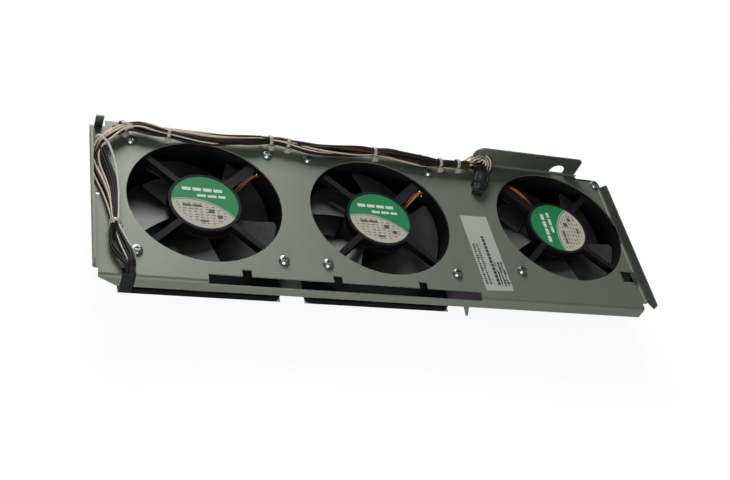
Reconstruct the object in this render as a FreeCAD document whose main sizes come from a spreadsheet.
import FreeCAD, Part
import math
import os
import Sketcher

# Server fan module: a folded sheet-metal plate that carries three 120 mm axial fans.
# The module lies on the fans' intake faces (z = 0), the plate faces +Z, +X runs along the
# row of fans from fan 1 to fan 3 and +Y points to the edge that carries the harness.
# The origin is on the axis of fan 2, in the plane of the intake faces.  Millimetres.

V = FreeCAD.Vector
UP = V(0, 0, 1)

doc = FreeCAD.newDocument("server_fan_module")

# ---------------------------------------------------------------- driving dimensions
dimensions = {
    # fans
    "fan_square": 119.5, "fan_depth": 38, "screw_pitch": 105, "flange_thick": 5,
    "flange_corner": 6, "duct_bore": 115.2, "duct_wall": 1.8, "flange_hole": 4.3,
    "mouth_flare": 1.2, "fan_left_gap": 138.5, "fan_right_gap": 163.9, "fan_right_rise": 7.7,
    # motor base and struts at the exhaust side
    "base_diameter": 54.5, "base_sink": 1.5, "base_floor": 2, "base_depth": 7, "base_skirt": 1.5,
    "strut_width": 5, "lead_strut_width": 8, "strut_depth": 6, "boss_wall": 2.5, "boss_depth": 3.5,
    "lead_window": 17, "lead_window_depth": 5, "lead_window_along": 12,
    "label_margin": 2.25, "label_recess": 0.3, "label_thick": 0.2,
    # rotor
    "hub_diameter": 52, "hub_wall": 1.5, "hub_base": 2, "hub_length": 26, "hub_round": 2.5,
    "tip_clearance": 1.1, "blade_count": 5, "blade_thick": 2, "blade_foot": 5.5, "blade_rise": 21.5,
    "blade_hub_span": 66, "blade_tip_span": 76, "blade_lag": 9, "blade_round": 6,
    "blade_camber": 1.6, "blade_spare": 1,
    "yoke_wall": 1, "yoke_length": 24, "yoke_boss": 9, "yoke_boss_rise": 3.4,
    "magnet_thick": 2.4, "magnet_length": 22,
    "shaft_diameter": 4, "shaft_length": 29, "groove_depth": 0.4,
    "ring_thick": 0.5, "ring_outer": 6.6, "ring_mouth": 2.2,
    # bearings, stator and board
    "bearing_outer": 11, "bearing_width": 4, "bearing_groove": 0.3,
    "tube_outer": 14, "tube_collar": 18, "tube_collar_thick": 1.5, "tube_shoulder": 1,
    "tube_start": 9, "tube_length": 25.5, "washer_thick": 0.5, "washer_wall": 1.1,
    "stator_outer": 41, "stator_height": 13, "pole_neck": 5, "pole_tip": 2.6,
    "core_wall": 2.6, "coil_wall": 2.4, "coil_over": 2.4,
    "board_margin": 1.25, "board_thick": 1.6,
    # folded plate
    "left_margin": 82.75, "right_margin": 57.35, "plate_thick": 1.2, "plate_top": 70.5, "plate_low_top": 64.4,
    "plate_low_width": 12, "lip_face": 75.6, "bend_inside": 1.2, "fan_opening": 115.5,
    "plate_screw_hole": 4.5, "lip_height": 11, "lip_slant": 13.5, "relief_edge": 69,
    "left_relief": 4, "right_relief": 4.75,
    "side_height": 10, "left_flange_top": 54, "right_flange_top": 56.6, "right_flange_toe": 9.5,
    "right_flange_slope": 5.8, "top_flange_start": 94.5, "top_flange_in": 22.75,
    "top_flange_height": 19.3, "top_flange_round": 8, "wire_hole": 14, "wire_hole_in": 41.75,
    "wire_hole_rise": 10.3, "relief_hole": 4.5, "relief_hole_in": 19.25, "relief_hole_edge": 68,
    "top_right_edge": 64, "plate_corner": 4, "tab_width": 6, "tab_height": 11, "tab_at": 3.8,
    "slot_start": -142.7, "slot_end": 68.9, "slot_edge": 68.4, "slot_lip_depth": 2.4,
    "notch_first": -114.8, "notch_pitch": 68, "notch_width": 7, "notch_edge": 62.6,
    "plug_notch_in": 24.05, "plug_notch_width": 9.6, "plug_notch_edge": 68,
    "tooth_at": 61.5, "tooth_width": 4.5, "tooth_drop": 11, "tooth_lean": 3,
    "window_in": 14.75, "window_width": 11, "window_low": -48, "window_height": 11,
    "left_hole": 3, "left_hole_in": 5.05, "left_hole_rise": -3,
    "lance_width": 7, "lance_length": 5,
    # fasteners
    "screw_diameter": 4, "screw_length": 10, "screw_head": 8.2, "screw_head_height": 2.8,
    "recess_width": 4.4, "recess_slot": 1.1, "recess_depth": 1.4,
    # harness, ties, connectors and sticker
    "trunk_diameter": 9, "trunk_inset": 7.5, "branch_diameter": 6.6, "signal_diameter": 3.4, "lead_diameter": 3,
    "tie_width": 3, "tie_thick": 1.2, "tie_head_width": 4.8, "tie_head_length": 4, "tie_head_height": 5,
    "main_plug_width": 8.6, "main_plug_depth": 5.4, "main_plug_drop": 20, "main_plug_rise": 1.8,
    "main_plug_slope": 2,
    "branch_entry": 7.5, "branch_tie_at": -27,
    "link_width": 13, "link_height": 8, "link_length": 17, "link_tail": 9, "link_tail_end": 8,
    "link_at": 95.5, "link_rise": 41, "link_turn": -26, "link_taper": 1,
    "sticker_width": 24, "sticker_length": 75.5, "sticker_thick": 0.15, "sticker_turn": 2.9,
    "sticker_at": 84.3, "sticker_rise": -28.7,
    # fits
    "seat_clearance": 0.03, "tie_clearance": 0.4, "shaft_clearance": 0.03, "lead_clearance": 0.5,
}

sheet = doc.addObject("Spreadsheet::Sheet", "sizes")
for row, (alias, number) in enumerate(dimensions.items(), start=1):
    sheet.set("A%d" % row, alias)
    sheet.set("B%d" % row, str(number))
    sheet.setAlias("B%d" % row, alias)
doc.recompute()


# A length that knows both its value and the sheet formula that gives it, so that one
# expression in this file both places geometry and drives it from the sheet.
class Size:
    def __init__(self, number, formula):
        self.number = number
        self.formula = formula

    def __add__(self, other):
        return Size(num(self) + num(other), "(%s + %s)" % (text(self), text(other)))

    def __radd__(self, other):
        return Size(num(other) + num(self), "(%s + %s)" % (text(other), text(self)))

    def __sub__(self, other):
        return Size(num(self) - num(other), "(%s - %s)" % (text(self), text(other)))

    def __rsub__(self, other):
        return Size(num(other) - num(self), "(%s - %s)" % (text(other), text(self)))

    def __mul__(self, other):
        return Size(num(self) * num(other), "(%s * %s)" % (text(self), text(other)))

    def __rmul__(self, other):
        return Size(num(other) * num(self), "(%s * %s)" % (text(other), text(self)))

    def __truediv__(self, other):
        return Size(num(self) / num(other), "(%s / %s)" % (text(self), text(other)))

    def __neg__(self):
        return Size(-self.number, "(0 - %s)" % self.formula)


def num(value):
    return value.number if isinstance(value, Size) else float(value)


def text(value):
    return value.formula if isinstance(value, Size) else repr(value)


class Cells:
    def __getattr__(self, alias):
        return Size(float(sheet.get(alias)), "sizes." + alias)


c = Cells()


# ---------------------------------------------------------------- helpers
def bind(obj, prop, value):
    if isinstance(value, Size):
        obj.setExpression(prop, value.formula)
    else:
        obj.setExpression(prop, repr(value))


def place(obj, x=0, y=0, z=0, turn=None):
    if turn is not None:
        obj.Placement = FreeCAD.Placement(V(), turn)
    for axis, value in (("x", x), ("y", y), ("z", z)):
        bind(obj, "Placement.Base." + axis, value)


def add_body(name):
    body = doc.addObject("PartDesign::Body", name)
    body.Label = name
    return body


# A sketch on one of the body's own origin planes, moved along the plane's normal by offset.
def add_sketch(body, plane, offset=0):
    sketch = body.newObject("Sketcher::SketchObject", body.Name + "_sketch")
    support = [item for item in body.Origin.OriginFeatures if item.Role == plane][0]
    sketch.AttachmentSupport = (support, [""])
    sketch.MapMode = "FlatFace"
    bind(sketch, "AttachmentOffset.Base.z", offset)
    return sketch


def pin(sketch, geometry, point, at):
    for kind, value in zip(("DistanceX", "DistanceY"), at):
        index = sketch.addConstraint(Sketcher.Constraint(kind, -1, 1, geometry, point, num(value)))
        bind(sketch, "Constraints[%d]" % index, value)


# A closed outline of straight edges through corners that the sheet drives.
def draw_outline(sketch, corners):
    first = sketch.GeometryCount
    ends = [V(num(x), num(y), 0) for x, y in corners]
    for start, end in zip(ends, ends[1:] + ends[:1]):
        sketch.addGeometry(Part.LineSegment(start, end))
    for step, corner in enumerate(corners):
        following = first + (step + 1) % len(corners)
        sketch.addConstraint(Sketcher.Constraint("Coincident", first + step, 2, following, 1))
        pin(sketch, first + step, 1, corner)


def draw_box(sketch, left, low, right, high):
    draw_outline(sketch, [(left, low), (right, low), (right, high), (left, high)])


def draw_circle(sketch, x, y, radius):
    circle = sketch.addGeometry(Part.Circle(V(num(x), num(y), 0), UP, num(radius)))
    index = sketch.addConstraint(Sketcher.Constraint("Radius", circle, num(radius)))
    bind(sketch, "Constraints[%d]" % index, radius)
    pin(sketch, circle, 3, (x, y))


def add_pad(body, sketch, length, down=False):
    pad = body.newObject("PartDesign::Pad", body.Name + "_pad")
    pad.Profile = sketch
    pad.Reversed = down
    bind(pad, "Length", length)
    return pad


# Cuts along the sketch's normal, or against it; the volume shows whether it cut anything.
def add_pocket(body, sketch, length, forward=False):
    doc.recompute()
    before = body.Shape.Volume
    pocket = body.newObject("PartDesign::Pocket", body.Name + "_pocket")
    pocket.Profile = sketch
    pocket.Reversed = forward
    bind(pocket, "Length", length)
    doc.recompute()
    if body.Shape.Volume > before - 0.01:
        raise ValueError("a pocket of %s cuts nothing" % body.Name)
    return pocket


def add_revolution(body, corners):
    sketch = add_sketch(body, "XZ_Plane")
    draw_outline(sketch, corners)
    turned = body.newObject("PartDesign::Revolution", body.Name + "_turned")
    turned.Profile = sketch
    turned.ReferenceAxis = (sketch, ["V_Axis"])
    turned.Angle = 360
    return turned


def add_fillet(body, radius, test):
    doc.recompute()
    base = body.Tip
    names = ["Edge%d" % (n + 1) for n, edge in enumerate(base.Shape.Edges) if test(edge)]
    if not names:
        raise ValueError("no edge to round on %s" % body.Name)
    fillet = body.newObject("PartDesign::Fillet", body.Name + "_round")
    fillet.Base = (base, names)
    bind(fillet, "Radius", radius)
    return fillet


def add_polar(body, feature, count):
    pattern = body.newObject("PartDesign::PolarPattern", body.Name + "_around")
    pattern.Originals = [feature]
    pattern.Axis = ([item for item in body.Origin.OriginFeatures if item.Role == "Z_Axis"][0], [""])
    pattern.Angle = 360
    bind(pattern, "Occurrences", count)
    body.Tip = pattern
    return pattern


def upright(edge):
    return edge.Curve.TypeId == "Part::GeomLine" and abs(edge.Curve.Direction.z) > 0.99


def near(a, b):
    return abs(a - num(b)) < 0.01


# True for straight edges parallel to the given direction whose middle is at the given place.
def runs_at(direction, x=None, y=None, z=None):
    def test(edge):
        if edge.Curve.TypeId != "Part::GeomLine" or abs(edge.Curve.Direction.dot(direction)) < 0.99:
            return False
        middle = edge.valueAt((edge.FirstParameter + edge.LastParameter) / 2)
        wanted = ((middle.x, x), (middle.y, y), (middle.z, z))
        return all(target is None or near(found, target) for found, target in wanted)
    return test


def add_feature(name, shape):
    feature = doc.addObject("Part::Feature", name)
    feature.Label = name
    feature.Shape = shape
    return feature


def add_cylinder(name, radius, height, x=0, y=0, z=0, turn=None):
    cylinder = doc.addObject("Part::Cylinder", name)
    bind(cylinder, "Radius", radius)
    bind(cylinder, "Height", height)
    place(cylinder, x, y, z, turn)
    return cylinder


def add_box(name, length, width, height, x=0, y=0, z=0):
    box = doc.addObject("Part::Box", name)
    bind(box, "Length", length)
    bind(box, "Width", width)
    bind(box, "Height", height)
    place(box, x, y, z)
    return box


def add_union(name, parts):
    union = doc.addObject("Part::MultiFuse", name)
    union.Label = name
    union.Shapes = parts
    return union


def add_group(name, parts):
    group = doc.addObject("Part::Compound", name)
    group.Label = name
    group.Links = parts
    return group


def add_cut(name, base, tool):
    cut = doc.addObject("Part::Cut", name)
    cut.Label = name
    cut.Base = base
    cut.Tool = tool
    return cut


# ---------------------------------------------------------------- shared levels and places
plate_under = c.fan_depth
plate_face = c.fan_depth + c.plate_thick
half_square = c.fan_square / 2
half_pitch = c.screw_pitch / 2
duct_radius = c.duct_bore / 2
duct_outer = duct_radius + c.duct_wall
base_top = c.fan_depth - c.base_sink
base_radius = c.base_diameter / 2
tube_radius = c.tube_outer / 2
tube_end = c.tube_start + c.tube_length
hub_radius = c.hub_diameter / 2
hub_inside = hub_radius - c.hub_wall
yoke_floor = c.hub_base + c.hub_wall
yoke_inside = hub_inside - c.seat_clearance - c.yoke_wall
bend_outside = c.bend_inside + c.plate_thick
plate_left = -c.fan_left_gap - c.left_margin
plate_right = c.fan_right_gap + c.right_margin
plug_notch_at = plate_left + c.plug_notch_in

fans = [
    {"tag": "1", "x": -c.fan_left_gap, "y": 0, "turn": 0, "blade_turn": 58, "corners": 4},
    {"tag": "2", "x": 0, "y": 0, "turn": 0, "blade_turn": 22, "corners": 4},
    {"tag": "3", "x": c.fan_right_gap, "y": c.fan_right_rise, "turn": 90, "blade_turn": 40, "corners": 3},
]


# ---------------------------------------------------------------- the folded plate
# One sheet: two side flanges, a tall flange at the top right and a tab at the top left are
# folded up; a lip along the lower edge is folded down and is pierced by a long slot.
def make_mounting_plate():
    body = add_body("mounting_plate")
    lip_left = plate_left + c.left_relief
    lip_right = plate_right - c.right_relief
    low_step = plate_left + c.plate_low_width
    relief_hole_at = plate_right - c.relief_hole_in
    top_flange_end = plate_right - c.top_flange_in

    blank = add_sketch(body, "XY_Plane", plate_under)
    draw_outline(blank, [
        (plate_left, -c.relief_edge), (lip_left, -c.relief_edge), (lip_left, -c.lip_face),
        (lip_right, -c.lip_face), (lip_right, -c.relief_edge), (plate_right, -c.relief_edge),
        (plate_right, c.top_right_edge), (relief_hole_at, c.top_right_edge),
        (relief_hole_at, c.plate_top), (low_step, c.plate_top),
        (low_step, c.plate_low_top), (plate_left, c.plate_low_top),
    ])
    add_pad(body, blank, c.plate_thick)
    add_fillet(body, c.plate_corner, runs_at(UP, plate_right, c.top_right_edge))

    # the lip hangs from the lower edge
    lip = add_sketch(body, "XY_Plane", plate_face)
    draw_box(lip, lip_left, -c.lip_face, lip_right, -c.lip_face + c.plate_thick)
    add_pad(body, lip, c.lip_height, down=True)
    along = V(1, 0, 0)
    add_fillet(body, bend_outside, runs_at(along, None, -c.lip_face, plate_face))
    add_fillet(body, c.bend_inside, runs_at(along, None, -c.lip_face + c.plate_thick, plate_under))

    # side flanges, top flange and tab stand on the sheet's edges
    across = V(0, 1, 0)
    sides = add_sketch(body, "XY_Plane", plate_under)
    draw_box(sides, plate_left, -c.relief_edge, plate_left + c.plate_thick, c.left_flange_top)
    draw_box(sides, plate_right - c.plate_thick, -c.relief_edge, plate_right, c.right_flange_top)
    add_pad(body, sides, c.side_height + c.plate_thick)
    add_fillet(body, bend_outside, lambda edge: runs_at(across, plate_left, None, plate_under)(edge)
               and edge.Length > num(c.left_flange_top) and edge.CenterOfMass.y < num(c.tab_width))
    add_fillet(body, c.bend_inside, runs_at(across, plate_left + c.plate_thick, None, plate_face))
    add_fillet(body, c.bend_inside, runs_at(across, plate_right - c.plate_thick, None, plate_face))

    tall = add_sketch(body, "XY_Plane", plate_face)
    draw_box(tall, c.top_flange_start, c.plate_top - c.plate_thick, top_flange_end, c.plate_top)
    add_pad(body, tall, c.top_flange_height)
    add_fillet(body, c.bend_inside, runs_at(along, None, c.plate_top - c.plate_thick, plate_face))
    add_fillet(body, c.top_flange_round,
               runs_at(across, c.top_flange_start, None, plate_face + c.top_flange_height))
    add_fillet(body, c.plate_corner,
               runs_at(across, top_flange_end, None, plate_face + c.top_flange_height))

    tab_left = plate_left + c.tab_at
    tab = add_sketch(body, "XY_Plane", plate_face)
    draw_box(tab, tab_left, c.plate_low_top - c.plate_thick, tab_left + c.tab_width, c.plate_low_top)
    add_pad(body, tab, c.tab_height)

    # the right flange runs on below the sheet as a toe and slopes back at its upper end
    toe = add_sketch(body, "YZ_Plane", plate_right - c.plate_thick)
    toe_top = plate_face + c.side_height
    draw_outline(toe, [
        (-c.relief_edge, plate_face + c.bend_inside), (-c.relief_edge, toe_top),
        (-c.relief_edge - c.right_flange_toe, toe_top),
        (-c.relief_edge - c.right_flange_toe, toe_top - c.side_height / 2),
    ])
    add_pad(body, toe, c.plate_thick)
    slope = add_sketch(body, "YZ_Plane", plate_right + c.plate_thick)
    draw_outline(slope, [
        (c.right_flange_top - c.right_flange_slope, toe_top + c.plate_thick),
        (c.right_flange_top + c.plate_thick, toe_top + c.plate_thick),
        (c.right_flange_top + c.plate_thick, plate_face + c.bend_inside),
        (c.right_flange_top, plate_face + c.bend_inside),
    ])
    add_pocket(body, slope, 3 * c.plate_thick)

    # openings of the fans, their screw holes and the small holes in the sheet
    holes = add_sketch(body, "XY_Plane", plate_face + c.plate_thick)
    for fan in fans:
        draw_circle(holes, fan["x"], fan["y"], c.fan_opening / 2)
        for side_x, side_y in [(1, 1), (-1, 1), (-1, -1), (1, -1)][:fan["corners"]]:
            draw_circle(holes, fan["x"] + side_x * half_pitch, fan["y"] + side_y * half_pitch,
                        c.plate_screw_hole / 2)
    draw_circle(holes, plate_left + c.left_hole_in, c.left_hole_rise, c.left_hole / 2)
    draw_circle(holes, relief_hole_at, c.relief_hole_edge, c.relief_hole / 2)
    window_left = plate_right - c.window_in
    draw_box(holes, window_left, c.window_low, window_left + c.window_width,
             c.window_low + c.window_height)
    draw_box(holes, plug_notch_at - c.plug_notch_width / 2, -c.lip_face - c.plate_thick,
             plug_notch_at + c.plug_notch_width / 2, -c.plug_notch_edge)
    add_pocket(body, holes, c.lip_height + 3 * c.plate_thick)

    # the long slot runs through the fold; three notches widen it into the sheet
    slot = add_sketch(body, "XY_Plane", plate_face + c.plate_thick)
    corners = [(c.slot_start, -c.lip_face - c.plate_thick), (c.slot_end, -c.lip_face - c.plate_thick),
               (c.slot_end, -c.slot_edge)]
    for step in (2, 1, 0):
        middle = c.notch_first + step * c.notch_pitch
        corners += [(middle + c.notch_width / 2, -c.slot_edge), (middle + c.notch_width / 2, -c.notch_edge),
                    (middle - c.notch_width / 2, -c.notch_edge), (middle - c.notch_width / 2, -c.slot_edge)]
    corners += [(c.slot_start, -c.slot_edge)]
    draw_outline(slot, corners)
    add_pocket(body, slot, c.plate_thick + bend_outside + c.slot_lip_depth - c.plate_thick)

    # D-shaped wire hole in the tall flange: a round hole that stops at the sheet
    wire = add_sketch(body, "XZ_Plane", -c.plate_top - c.plate_thick)
    wire_hole_at = plate_right - c.wire_hole_in
    draw_circle(wire, wire_hole_at, plate_face + c.wire_hole_rise - c.wire_hole / 2, c.wire_hole / 2)
    add_pocket(body, wire, 3 * c.plate_thick, forward=True)
    sill_left = wire_hole_at - c.wire_hole / 2
    sill = add_sketch(body, "XY_Plane", plate_under)
    draw_box(sill, sill_left, c.plate_top - 3 * c.plate_thick, sill_left + c.wire_hole, c.plate_top)
    add_pad(body, sill, c.plate_thick)
    foot = add_sketch(body, "XY_Plane", plate_under)
    draw_box(foot, sill_left, c.plate_top - c.plate_thick, sill_left + c.wire_hole, c.plate_top)
    add_pad(body, foot, c.plate_thick + c.bend_inside)

    # the lip's left end is cut on a slant, and a pointed tooth hangs below the lip
    lip_low = plate_face - c.lip_height
    corner = add_sketch(body, "XZ_Plane", c.lip_face + c.plate_thick)
    draw_outline(corner, [
        (lip_left - c.plate_thick, plate_under - c.bend_inside), (lip_left - c.plate_thick, lip_low - 1),
        (lip_left + c.lip_slant, lip_low - 1), (lip_left + c.lip_slant, lip_low),
        (lip_left, plate_under - c.bend_inside),
    ])
    add_pocket(body, corner, c.lip_face - c.relief_edge)
    tooth = add_sketch(body, "XZ_Plane", c.lip_face)
    draw_outline(tooth, [
        (c.tooth_at - c.tooth_width, lip_low), (c.tooth_at, lip_low),
        (c.tooth_at + c.tooth_lean + 1, lip_low - c.tooth_drop),
        (c.tooth_at + c.tooth_lean - 1, lip_low - c.tooth_drop),
    ])
    add_pad(body, tooth, c.plate_thick, down=True)

    # a lanced tab reaches in from the right flange over the window
    lance = add_sketch(body, "XY_Plane", plate_face + c.bend_inside + c.plate_thick)
    draw_box(lance, plate_right - c.plate_thick - c.lance_length, c.window_low + c.plate_thick,
             plate_right - c.plate_thick / 2, c.window_low + c.plate_thick + c.lance_width)
    add_pad(body, lance, c.plate_thick)
    return body


# ---------------------------------------------------------------- fan frame
# Two square flanges joined by a round duct, open at the corners; at the exhaust side four
# struts carry the motor base, and the wider one has the leads beside it.
def make_fan_housing(fan):
    body = add_body("fan_housing_" + fan["tag"])
    for level in (0, c.fan_depth - c.flange_thick):
        flange = add_sketch(body, "XY_Plane", level)
        draw_box(flange, -half_square, -half_square, half_square, half_square)
        if level:
            duct = add_sketch(body, "XY_Plane", 0)
            draw_circle(duct, 0, 0, duct_outer)
            add_pad(body, duct, c.fan_depth)
        add_pad(body, flange, c.flange_thick)
    add_fillet(body, c.flange_corner, lambda edge: upright(edge)
               and near(abs(edge.CenterOfMass.x), half_square) and near(abs(edge.CenterOfMass.y), half_square))

    bore = add_sketch(body, "XY_Plane", c.fan_depth)
    draw_circle(bore, 0, 0, duct_radius)
    add_pocket(body, bore, c.fan_depth)
    mouth = add_sketch(body, "XZ_Plane")
    draw_outline(mouth, [
        (duct_radius - 1, 0), (duct_radius + c.mouth_flare, 0),
        (duct_radius, 2 * c.mouth_flare), (duct_radius - 1, 2 * c.mouth_flare),
    ])
    flare = body.newObject("PartDesign::Groove", body.Name + "_mouth")
    flare.Profile = mouth
    flare.ReferenceAxis = (mouth, ["V_Axis"])
    flare.Angle = 360
    holes = add_sketch(body, "XY_Plane", c.fan_depth)
    for side_x in (-1, 1):
        for side_y in (-1, 1):
            draw_circle(holes, side_x * half_pitch, side_y * half_pitch, c.flange_hole / 2)
    add_pocket(body, holes, c.fan_depth)

    # motor base: a round cap with a skirt, a boss for the bearing tube and a label recess
    skirt_low = base_top - c.base_depth
    strut_low = base_top - c.strut_depth
    for turned, width in ((0, c.lead_strut_width), (90, c.strut_width), (180, c.strut_width),
                          (270, c.strut_width)):
        strut = add_sketch(body, "XY_Plane", strut_low)
        strut.AttachmentOffset = FreeCAD.Placement(V(), FreeCAD.Rotation(UP, 45 + turned))
        bind(strut, "AttachmentOffset.Base.z", strut_low)
        draw_box(strut, base_radius - c.base_skirt, -width / 2, duct_radius + c.duct_wall / 2, width / 2)
        if turned == 0:
            floor = add_sketch(body, "XY_Plane", base_top)
            draw_circle(floor, 0, 0, base_radius)
            add_pad(body, floor, c.base_floor, down=True)
            skirt = add_sketch(body, "XY_Plane", skirt_low)
            draw_circle(skirt, 0, 0, base_radius)
            draw_circle(skirt, 0, 0, base_radius - c.base_skirt)
            add_pad(body, skirt, c.base_depth)
        add_pad(body, strut, c.strut_depth)
    boss = add_sketch(body, "XY_Plane", tube_end - c.boss_depth)
    draw_circle(boss, 0, 0, tube_radius + c.boss_wall)
    draw_circle(boss, 0, 0, tube_radius + c.seat_clearance)
    add_pad(body, boss, c.boss_depth)
    recess = add_sketch(body, "XY_Plane", base_top)
    draw_circle(recess, 0, 0, c.base_diameter / 2 - c.label_margin)
    add_pocket(body, recess, c.label_recess)

    # the leads pass under the skirt's edge and leave through a window in the duct wall
    window_top = c.fan_depth - c.flange_thick
    window = add_sketch(body, "XY_Plane", window_top)
    window.AttachmentOffset = FreeCAD.Placement(V(), FreeCAD.Rotation(UP, 45))
    bind(window, "AttachmentOffset.Base.z", window_top)
    draw_box(window, duct_radius - c.lead_window_along / 2, -c.lead_window / 2,
             duct_radius + c.lead_window_along / 2, -c.lead_strut_width / 2)
    add_pocket(body, window, c.lead_window_depth)
    return body


def make_motor_label(fan):
    body = add_body("motor_label_" + fan["tag"])
    disc = add_sketch(body, "XY_Plane", base_top - c.label_recess)
    draw_circle(disc, 0, 0, c.base_diameter / 2 - c.label_margin - c.seat_clearance)
    add_pad(body, disc, c.label_thick)
    return body


# ---------------------------------------------------------------- motor
def make_circuit_board(fan):
    body = add_body("circuit_board_" + fan["tag"])
    ring = add_sketch(body, "XY_Plane", base_top - c.base_floor)
    draw_circle(ring, 0, 0, c.base_diameter / 2 - c.base_skirt - c.board_margin)
    draw_circle(ring, 0, 0, tube_radius + c.boss_wall + c.seat_clearance)
    add_pad(body, ring, c.board_thick, down=True)
    return body


# A turned brass tube: both bearings seat in counterbores against its middle shoulder.
def make_bearing_tube(fan):
    body = add_body("bearing_tube_" + fan["tag"])
    seat = c.bearing_outer / 2 + c.seat_clearance
    collar_low = c.tube_start + c.washer_thick + c.bearing_width + c.stator_height
    lower_seat = c.tube_start + c.bearing_width + 2 * c.washer_thick
    upper_seat = tube_end - c.boss_depth - c.bearing_width
    add_revolution(body, [
        (seat, c.tube_start), (tube_radius, c.tube_start), (tube_radius, collar_low),
        (c.tube_collar / 2, collar_low), (c.tube_collar / 2, collar_low + c.tube_collar_thick),
        (tube_radius, collar_low + c.tube_collar_thick), (tube_radius, tube_end), (seat, tube_end),
        (seat, upper_seat), (seat - c.tube_shoulder, upper_seat),
        (seat - c.tube_shoulder, lower_seat), (seat, lower_seat),
    ])
    return body


def make_ball_bearings(fan):
    rings = []
    levels = (c.tube_start + c.washer_thick, tube_end - c.boss_depth - c.bearing_width)
    outer = c.bearing_outer / 2
    inner = c.shaft_diameter / 2 + c.shaft_clearance
    inner_land = inner + c.bearing_outer / 10
    outer_land = outer - c.bearing_outer / 10
    for level, end in zip(levels, ("_low", "_high")):
        body = add_body("bearing_" + fan["tag"] + end)
        top = level + c.bearing_width
        add_revolution(body, [
            (inner, level), (inner_land, level), (inner_land, level + c.bearing_groove),
            (outer_land, level + c.bearing_groove), (outer_land, level), (outer, level),
            (outer, top), (outer_land, top), (outer_land, top - c.bearing_groove),
            (inner_land, top - c.bearing_groove), (inner_land, top), (inner, top),
        ])
        rings.append(body)
    return add_group("ball_bearings_" + fan["tag"], rings)


def make_preload_washer(fan):
    body = add_body("preload_washer_" + fan["tag"])
    level = c.tube_start + c.washer_thick + c.bearing_width
    outer = c.bearing_outer / 2
    add_revolution(body, [
        (outer - c.washer_wall, level), (outer, level),
        (outer, level + c.washer_thick), (outer - c.washer_wall, level + c.washer_thick),
    ])
    return body


# Four T-shaped poles round a sleeve that seats on the bearing tube.
def make_stator_core(fan):
    body = add_body("stator_core_" + fan["tag"])
    low = c.tube_start + c.washer_thick + c.bearing_width
    outer = c.stator_outer / 2
    tips = add_sketch(body, "XY_Plane", low)
    draw_circle(tips, 0, 0, outer)
    draw_circle(tips, 0, 0, outer - c.pole_tip)
    add_pad(body, tips, c.stator_height)
    neck = add_sketch(body, "XY_Plane", low)
    draw_box(neck, -outer + c.pole_tip / 2, -c.pole_neck / 2, outer - c.pole_tip / 2, c.pole_neck / 2)
    add_pad(body, neck, c.stator_height)
    cross = add_sketch(body, "XY_Plane", low)
    draw_box(cross, -c.pole_neck / 2, -outer + c.pole_tip / 2, c.pole_neck / 2, outer - c.pole_tip / 2)
    add_pad(body, cross, c.stator_height)
    sleeve = add_sketch(body, "XY_Plane", low)
    draw_circle(sleeve, 0, 0, tube_radius + c.core_wall)
    add_pad(body, sleeve, c.stator_height)
    bore = add_sketch(body, "XY_Plane", low + c.stator_height)
    draw_circle(bore, 0, 0, tube_radius + c.seat_clearance)
    add_pocket(body, bore, c.stator_height)
    gap = add_sketch(body, "XY_Plane", low + c.stator_height)
    gap.AttachmentOffset = FreeCAD.Placement(V(), FreeCAD.Rotation(UP, 45))
    bind(gap, "AttachmentOffset.Base.z", low + c.stator_height)
    draw_box(gap, outer - 2 * c.pole_tip, -c.pole_tip / 2, outer + c.pole_tip, c.pole_tip / 2)
    cut = add_pocket(body, gap, c.stator_height)
    add_polar(body, cut, 4)
    return body


def make_stator_windings(fan):
    body = add_body("coil_body_" + fan["tag"])
    low = c.tube_start + c.washer_thick + c.bearing_width
    inner = tube_radius + c.core_wall
    outer = c.stator_outer / 2 - c.pole_tip - c.coil_wall / 2
    half_coil = c.pole_neck / 2 + c.coil_wall
    coil = add_sketch(body, "XZ_Plane", -half_coil)
    draw_box(coil, inner + c.core_wall, low - c.coil_over, outer, low + c.stator_height + c.coil_over)
    add_pad(body, coil, 2 * half_coil)
    hole = add_sketch(body, "YZ_Plane", inner)
    draw_box(hole, -c.pole_neck / 2, low, c.pole_neck / 2, low + c.stator_height)
    add_pocket(body, hole, outer, forward=True)
    parts = []
    for quarter in range(4):
        copy = doc.addObject("Part::Feature", "coil_%s_%d" % (fan["tag"], quarter))
        copy.Shape = body.Shape.copy()
        copy.Placement = FreeCAD.Placement(V(), FreeCAD.Rotation(UP, 90 * quarter))
        parts.append(copy)
    return add_group("stator_windings_" + fan["tag"], parts)


# ---------------------------------------------------------------- rotor
# The blade is a skewed sheet: its height rises with the angle from the leading edge, near
# the intake, to the trailing edge, near the struts, and its span grows from hub to tip.
def blade_height(angle_share):
    return c.blade_foot + c.blade_rise * angle_share


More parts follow.
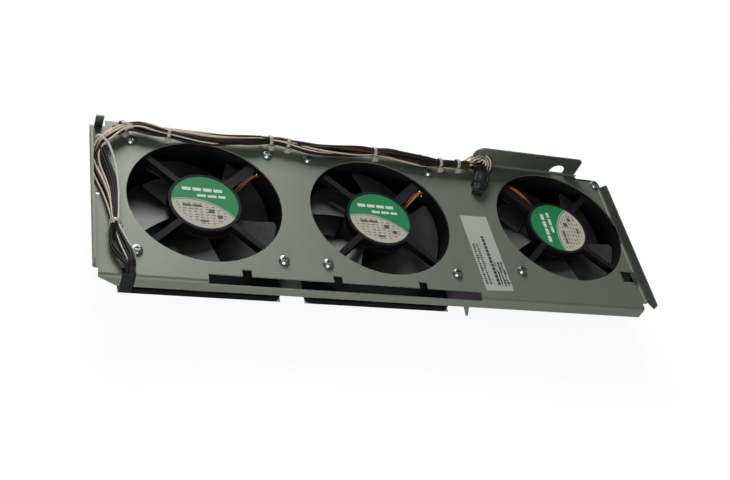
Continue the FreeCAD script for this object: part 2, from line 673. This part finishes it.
def make_blade():
    inside = num(hub_radius) - num(c.hub_wall) / 2
    tip = num(duct_radius - c.tip_clearance)
    spare = num(c.blade_spare)
    sheets = []
    for offset in (-0.5, 0.5):
        grid = []
        for step in range(5):
            share = step / 4
            radius = inside - spare + (tip + 2 * spare - inside) * share
            span = num(c.blade_hub_span) + (num(c.blade_tip_span) - num(c.blade_hub_span)) * share
            line = []
            for turn_step in range(9):
                angle_share = turn_step / 8
                angle = math.radians(num(c.blade_lag) * share - span * (1 - angle_share))
                curve = math.sin(math.pi * angle_share)
                thick = num(c.blade_thick) * (0.45 + 0.55 * curve) * offset
                height = num(blade_height(angle_share)) + num(c.blade_camber) * curve + thick
                line.append(V(radius * math.cos(angle), radius * math.sin(angle), height))
            grid.append(line)
        surface = Part.BSplineSurface()
        surface.interpolate(grid)
        sheets.append(surface.toShape())
    under, over = sheets
    faces = [under, over]
    for edge, twin in zip(under.Edges, over.Edges):
        faces.append(Part.makeRuledSurface(edge, twin))
    shell = Part.makeShell(faces)
    shell.sewShape()
    solid = Part.makeSolid(shell)
    if solid.Volume < 0:
        solid.reverse()
    trim = Part.makeCylinder(tip, num(c.fan_depth)).cut(Part.makeCylinder(inside, num(c.fan_depth)))
    blade = solid.common(trim)
    # the outer corner of the trailing edge is rounded, seen along the axis
    rounding = num(c.blade_round)
    corner = Part.makeBox(2 * rounding, 2 * rounding, num(c.fan_depth), V(tip - rounding, -rounding, 0))
    corner = corner.cut(Part.makeCylinder(rounding, num(c.fan_depth), V(tip - rounding, -rounding, 0)))
    corner.rotate(V(), UP, num(c.blade_lag))
    return blade.cut(corner)


def make_impeller(fan):
    tag = fan["tag"]
    hub = add_body("impeller_hub_" + tag)
    hub_top = c.hub_base + c.hub_length
    add_revolution(hub, [
        (0, c.hub_base), (hub_radius, c.hub_base), (hub_radius, hub_top), (hub_inside, hub_top),
        (hub_inside, yoke_floor), (0, yoke_floor),
    ])
    add_fillet(hub, c.hub_round, lambda edge: near(edge.CenterOfMass.z, c.hub_base)
               and edge.Curve.TypeId == "Part::GeomCircle" and near(edge.Curve.Radius, hub_radius))
    blade = make_blade()
    count = int(num(c.blade_count))
    parts = [hub]
    for step in range(count):
        turned = blade.copy()
        turned.rotate(V(), UP, fan["blade_turn"] + 360 * step / count)
        parts.append(add_feature("blade_%s_%d" % (tag, step), turned))
    return add_union("impeller_" + tag, parts)


def make_rotor_yoke(fan):
    body = add_body("rotor_yoke_" + fan["tag"])
    outer = hub_inside - c.seat_clearance
    top = yoke_floor + c.yoke_length
    shaft = c.shaft_diameter / 2 + c.seat_clearance / 3
    floor = yoke_floor + c.yoke_wall
    add_revolution(body, [
        (shaft, yoke_floor), (outer, yoke_floor), (outer, top), (yoke_inside, top),
        (yoke_inside, floor), (c.yoke_boss / 2, floor), (c.yoke_boss / 2, floor + c.yoke_boss_rise),
        (shaft, floor + c.yoke_boss_rise),
    ])
    return body


def make_magnet_ring(fan):
    body = add_body("magnet_ring_" + fan["tag"])
    floor = yoke_floor + c.yoke_wall
    outer = yoke_inside - c.seat_clearance
    add_revolution(body, [
        (outer - c.magnet_thick, floor), (outer, floor), (outer, floor + c.magnet_length),
        (outer - c.magnet_thick, floor + c.magnet_length),
    ])
    return body


ring_level = tube_end - c.boss_depth + c.ring_thick / 2


def make_rotor_shaft(fan):
    body = add_body("rotor_shaft_" + fan["tag"])
    radius = c.shaft_diameter / 2
    end = yoke_floor + c.shaft_length
    add_revolution(body, [
        (0, yoke_floor), (radius, yoke_floor), (radius, ring_level),
        (radius - c.groove_depth, ring_level), (radius - c.groove_depth, ring_level + c.ring_thick),
        (radius, ring_level + c.ring_thick), (radius, end - c.ring_thick),
        (radius - c.ring_thick, end), (0, end),
    ])
    return body


def make_retaining_ring(fan):
    body = add_body("retaining_ring_" + fan["tag"])
    ring = add_sketch(body, "XY_Plane", ring_level)
    draw_circle(ring, 0, 0, c.ring_outer / 2)
    draw_circle(ring, 0, 0, c.shaft_diameter / 2 - c.groove_depth)
    add_pad(body, ring, c.ring_thick)
    mouth = add_sketch(body, "XY_Plane", ring_level + c.ring_thick)
    draw_box(mouth, 0, -c.ring_mouth / 2, c.ring_outer, c.ring_mouth / 2)
    add_pocket(body, mouth, c.ring_thick)
    return body


# ---------------------------------------------------------------- screws
def make_fan_screws():
    head = c.screw_head / 2
    crown = plate_face + c.screw_head_height
    places = []
    for fan in fans:
        for side_x, side_y in [(1, 1), (-1, 1), (-1, -1), (1, -1)][:fan["corners"]]:
            places.append((fan["x"] + side_x * half_pitch, fan["y"] + side_y * half_pitch))
    screws = []
    for number, (x, y) in enumerate(places, start=1):
        body = add_body("screw_%d" % number)
        add_revolution(body, [
            (0, plate_face - c.screw_length), (c.screw_diameter / 3, plate_face - c.screw_length),
            (c.screw_diameter / 2, plate_face - c.screw_length + c.screw_diameter / 4),
            (c.screw_diameter / 2, plate_face), (head, plate_face),
            (head, plate_face + c.screw_head_height / 3), (head * 0.8, crown - c.screw_head_height / 8),
            (head / 2, crown), (0, crown),
        ])
        recess = add_sketch(body, "XY_Plane", crown)
        wide = c.recess_width / 2
        slim = c.recess_slot / 2
        draw_outline(recess, [
            (wide, -slim), (wide, slim), (slim, slim), (slim, wide), (-slim, wide), (-slim, slim),
            (-wide, slim), (-wide, -slim), (-slim, -slim), (-slim, -wide), (slim, -wide), (slim, -slim),
        ])
        add_pocket(body, recess, c.recess_depth)
        place(body, x, y, 0)
        screws.append(body)
    return add_group("fan_screws", screws)


# ---------------------------------------------------------------- wires
# A round wire along straight runs joined by tangent arcs.  Each arc is as large as its two
# runs allow: its radius is 0.45 of the shorter run over the tangent of half the turn.
def wire_tube(name, route, diameter):
    points = [V(num(x), num(y), num(z)) for x, y, z in route]
    edges = []
    radii = []
    start = points[0]
    for before, corner, after in zip(points, points[1:], points[2:]):
        inward = (corner - before).normalize()
        outward = (after - corner).normalize()
        turn = inward.getAngle(outward)
        reach = 0.45 * min((corner - before).Length, (after - corner).Length)
        radius = reach / math.tan(turn / 2)
        radii.append(radius)
        arc_start = corner - inward * reach
        arc_end = corner + outward * reach
        bisector = (outward - inward).normalize()
        middle = corner + bisector * (radius / math.cos(turn / 2) - radius)
        edges.append(Part.makeLine(start, arc_start))
        edges.append(Part.Arc(arc_start, middle, arc_end).toShape())
        start = arc_end
    edges.append(Part.makeLine(start, points[-1]))
    path = Part.Wire(edges)
    section = Part.Wire(Part.makeCircle(num(diameter) / 2, points[0], points[1] - points[0]))
    tube = path.makePipeShell([section], True, False)
    expected = math.pi * (num(diameter) / 2) ** 2 * path.Length
    print("%s: length %.1f, radii %s, volume share %.3f" % (
        name, path.Length, " ".join("%.0f" % r for r in radii), tube.Volume / expected))
    return add_feature(name, tube)


trunk_level = plate_face + c.tie_thick + c.tie_clearance * 1.5 + c.trunk_diameter / 2
branch_level = plate_face + c.branch_diameter / 2
trunk_edge = c.plate_top - c.trunk_inset

# Way points of the harness.  Each trunk point is given as a fan, the distance along X from
# that fan's axis in half fan widths, and its sway and lift in trunk diameters.
trunk_points = [
    (0, -0.996, -0.245, 0.156), (0, -0.661, -0.445, 0.089), (0, -0.310, -0.778, 0.0),
    (0, 0.025, -0.845, -0.067), (0, 0.360, -0.622, 0.0), (0, 0.678, -0.222, 0.0), (0, 0.979, 0.067, 0.0),
    (1, -0.870, 0.0, 0.0), (1, -0.402, 0.111, 0.0), (1, 0.067, 0.089, 0.0), (1, 0.502, 0.0, 0.0),
    (1, 0.837, -0.133, 0.0), (1, 1.138, -0.267, 0.0), (1, 1.406, -0.178, 0.0),
]
# Branch and signal points: the distance from the left edge in their own diameters, the
# place along Y in half fan widths, and the lift in their own diameters.
branch_points = [
    (2.008, 1.0325, 0.713), (1.030, 0.804, 0.152), (1.970, 0.552, 0.0), (2.576, 0.268, 0.0),
    (2.788, -0.067, 0.0), (2.450, -0.300, 0.200), (2.333, -0.452, 0.273), (2.050, -0.640, 0.200),
    (1.950, -0.780, 0.0), (2.364, -0.920, 0.091),
]
signal_points = [
    (1.118, 0.887, 0.118), (0.941, 0.736, 0.0), (1.059, 0.552, 0.0), (1.941, 0.351, 0.0),
    (3.235, 0.151, 0.0), (3.706, -0.067, 0.0), (3.000, -0.285, 0.0), (2.353, -0.502, 0.0),
]
# Ties round the trunk: a fan and the distance from its axis in half fan widths.
tie_stations = [(0, -0.862), (0, -0.410), (0, 0.935), (0, 1.213), (1, 0.134), (1, 1.038), (1, 1.322)]


def fan_reach(index, share):
    return fans[index]["x"] + half_square * share


def trunk_route():
    return [(fan_reach(index, share), trunk_edge + c.trunk_diameter * sway, trunk_level + c.trunk_diameter * lift)
            for index, share, sway, lift in trunk_points]


def side_route(points, diameter):
    return [(plate_left + diameter * inward, half_square * along, plate_face + diameter * (0.5 + lift))
            for inward, along, lift in points]


# Where a route crosses a plane at a given distance along one of its axes (0 for X, 1 for Y)
def crossing(route, axis, distance):
    for start, end in zip(route, route[1:]):
        first, last = [V(*(num(value) for value in point)) for point in (start, end)]
        share = (distance - first[axis]) / (last[axis] - first[axis]) if last[axis] != first[axis] else -1
        if 0 <= share <= 1:
            return first + (last - first) * share
    raise ValueError("the route misses the plane at %g" % distance)


# The trunk lies along the top edge and sags over the rim of fan 1's opening.
def make_harness_trunk():
    return wire_tube("harness_trunk", trunk_route(), c.trunk_diameter)


# The branch turns down the left side and ends in the plug at the lower lip.
def branch_route():
    plug_y = -c.lip_face + c.main_plug_depth / 2
    plug_top = plate_face + c.main_plug_rise
    return [trunk_route()[0]] + side_route(branch_points, c.branch_diameter) + [
        (plug_notch_at, plug_y + 1.35 * c.branch_diameter, branch_level + 0.455 * c.branch_diameter),
        (plug_notch_at, plug_y, plug_top + c.branch_entry), (plug_notch_at, plug_y, plug_top),
    ]


def make_harness_branch():
    return wire_tube("harness_branch", branch_route(), c.branch_diameter)


# Thin signal wires bulge beside the branch.
def make_signal_wires():
    return wire_tube("signal_wires", side_route(signal_points, c.signal_diameter), c.signal_diameter)


# Each fan's leads run beside the wide strut, through the duct window and up the top edge.
def make_fan_leads(fan):
    thick = c.lead_diameter
    level = c.fan_depth - c.flange_thick - thick / 2 - c.lead_clearance / 2
    beside = c.lead_strut_width / 2 + thick / 2 + c.lead_clearance
    turned = FreeCAD.Rotation(UP, 45 + fan["turn"])
    shift = V(num(fan["x"]), num(fan["y"]), num(level))
    inner = turned.multVec(V(num(base_radius + c.lead_clearance), -num(beside), 0)) + shift
    wall = turned.multVec(V(num(duct_radius - 0.87 * thick), -num(beside + 0.07 * thick), 0)) + shift
    outer = turned.multVec(V(num(duct_outer + 1.2 * thick), -num(beside - 0.17 * thick), 0)) + shift
    over = c.plate_top + thick + c.lead_clearance
    if fan["corners"] == 4:
        route = [inner, wall, outer, (outer.x, over, level), (outer.x, over, trunk_level),
                 (outer.x, trunk_edge + c.trunk_diameter / 2 + 0.53 * thick, trunk_level)]
    else:
        start = c.top_flange_start - 1.5 * thick
        socket_axis = FreeCAD.Rotation(UP, num(c.link_turn)).multVec(V(0, 1, 0))
        entry = V(num(c.link_at), num(c.link_rise), num(plate_face + c.link_height / 2))
        entry += socket_axis * num(c.link_length)
        route = [inner, wall, outer, (start + 5.17 * thick, over - thick, level),
                 (start, over, level + thick / 2), (start, over, trunk_level + 1.33 * thick),
                 (start + 0.67 * thick, over - 2.67 * thick, trunk_level + 1.5 * thick),
                 entry + socket_axis * num(2 * thick), entry]
    return wire_tube("fan_leads_" + fan["tag"], [tuple(p) if isinstance(p, V) else p for p in route],
                     c.lead_diameter)


# ---------------------------------------------------------------- ties, plugs and sticker
# A strap round a wire bundle, with its square head beside the bundle on the plate
def make_tie(tag, middle, diameter, turn):
    inner = diameter / 2 + c.tie_clearance
    outer = inner + c.tie_thick
    along = FreeCAD.Rotation(UP, turn)
    lying = along.multiply(FreeCAD.Rotation(V(0, 1, 0), 90))
    start = middle - along.multVec(V(num(c.tie_width) / 2, 0, 0))
    loop = add_cut("tie_loop_" + tag,
                   add_cylinder("tie_outer_" + tag, outer, c.tie_width, start.x, start.y, start.z, lying),
                   add_cylinder("tie_inner_" + tag, inner, c.tie_width, start.x, start.y, start.z, lying))
    corner = middle + along.multVec(V(-num(c.tie_head_width) / 2,
                                      num(c.tie_thick - outer - c.tie_head_length), 0))
    head = add_box("tie_head_" + tag, c.tie_head_width, c.tie_head_length, c.tie_head_height,
                   corner.x, corner.y, corner.z - num(c.tie_head_height) / 3)
    head.Placement.Rotation = along
    return add_union("tie_" + tag, [loop, head])


def make_cable_ties():
    trunk = trunk_route()
    ties = []
    for number, (index, share) in enumerate(tie_stations, start=1):
        middle = crossing(trunk, 0, num(fan_reach(index, share)))
        ties.append(make_tie(str(number), middle, c.trunk_diameter, 0))
    middle = crossing(branch_route(), 1, num(c.branch_tie_at))
    ties.append(make_tie("branch", middle, c.branch_diameter, 90))
    return add_group("cable_ties", ties)


def make_main_plug():
    body = add_body("main_plug")
    top = plate_face + c.main_plug_rise
    outline = add_sketch(body, "XZ_Plane", c.lip_face - c.main_plug_depth / 2)
    wide = c.main_plug_width / 2
    draw_outline(outline, [
        (-wide * 0.8, top), (-wide, top - c.main_plug_slope), (-wide, top - c.main_plug_drop),
        (wide, top - c.main_plug_drop), (wide, top - c.main_plug_slope), (wide * 0.8, top),
    ])
    add_pad(body, outline, c.main_plug_depth)
    place(body, plug_notch_at, c.main_plug_depth / 2, 0)
    return body


# A plug in its socket, lying on the plate between fans 2 and 3.
def make_link_halves():
    turn = FreeCAD.Rotation(UP, num(c.link_turn))
    socket = add_body("link_socket")
    front = add_sketch(socket, "XY_Plane", plate_face)
    draw_box(front, -c.link_width / 2, 0, c.link_width / 2, c.link_length)
    add_pad(socket, front, c.link_height)
    plug = add_body("link_plug")
    tail = add_sketch(plug, "XY_Plane", plate_face)
    draw_outline(tail, [
        (-c.link_width / 2 + c.link_taper, 0), (-c.link_tail_end / 2, -c.link_tail),
        (c.link_tail_end / 2, -c.link_tail), (c.link_width / 2 - c.link_taper, 0),
    ])
    add_pad(plug, tail, c.link_height - c.link_taper)
    for body in (socket, plug):
        body.Placement = FreeCAD.Placement(V(), turn)
        place(body, c.link_at, c.link_rise, 0)
    return socket, plug


def make_sticker():
    body = add_body("blank_sticker")
    outline = add_sketch(body, "XY_Plane", plate_face)
    draw_box(outline, -c.sticker_width / 2, -c.sticker_length / 2, c.sticker_width / 2, c.sticker_length / 2)
    add_pad(body, outline, c.sticker_thick)
    body.Placement = FreeCAD.Placement(V(), FreeCAD.Rotation(UP, num(c.sticker_turn)))
    place(body, c.sticker_at, c.sticker_rise, 0)
    return body


# ---------------------------------------------------------------- assembly
nodes = {}


def keep(name, obj):
    obj.Label = name
    nodes[name] = obj


keep("mounting_plate", make_mounting_plate())
fan_makers = [
    ("fan_housing_", make_fan_housing), ("motor_label_", make_motor_label),
    ("circuit_board_", make_circuit_board), ("bearing_tube_", make_bearing_tube),
    ("ball_bearings_", make_ball_bearings), ("preload_washer_", make_preload_washer),
    ("stator_core_", make_stator_core), ("stator_windings_", make_stator_windings),
    ("impeller_", make_impeller), ("rotor_yoke_", make_rotor_yoke), ("magnet_ring_", make_magnet_ring),
    ("rotor_shaft_", make_rotor_shaft), ("retaining_ring_", make_retaining_ring),
]
for fan in fans:
    for stem, maker in fan_makers:
        piece = maker(fan)
        turn = FreeCAD.Rotation(UP, fan["turn"])
        place(piece, fan["x"], fan["y"], 0, turn)
        keep(stem + fan["tag"], piece)
    keep("fan_leads_" + fan["tag"], make_fan_leads(fan))
keep("fan_screws", make_fan_screws())
keep("harness_trunk", make_harness_trunk())
keep("harness_branch", make_harness_branch())
keep("signal_wires", make_signal_wires())
keep("cable_ties", make_cable_ties())
keep("main_plug", make_main_plug())
link_socket, link_plug = make_link_halves()
keep("link_socket", link_socket)
keep("link_plug", link_plug)
keep("blank_sticker", make_sticker())
doc.recompute()

for obj in doc.Objects:
    if "Invalid" in obj.State or "Error" in obj.State:
        raise ValueError("%s could not be computed" % obj.Label)
os.makedirs("parts", exist_ok=True)
for name, obj in nodes.items():
    if obj.Shape.isNull() or not obj.Shape.isValid():
        raise ValueError("%s has no valid shape" % name)
    obj.Shape.exportStep("parts/%s.step" % name)
print("%d nodes, %d solids" % (len(nodes), sum(len(obj.Shape.Solids) for obj in nodes.values())))
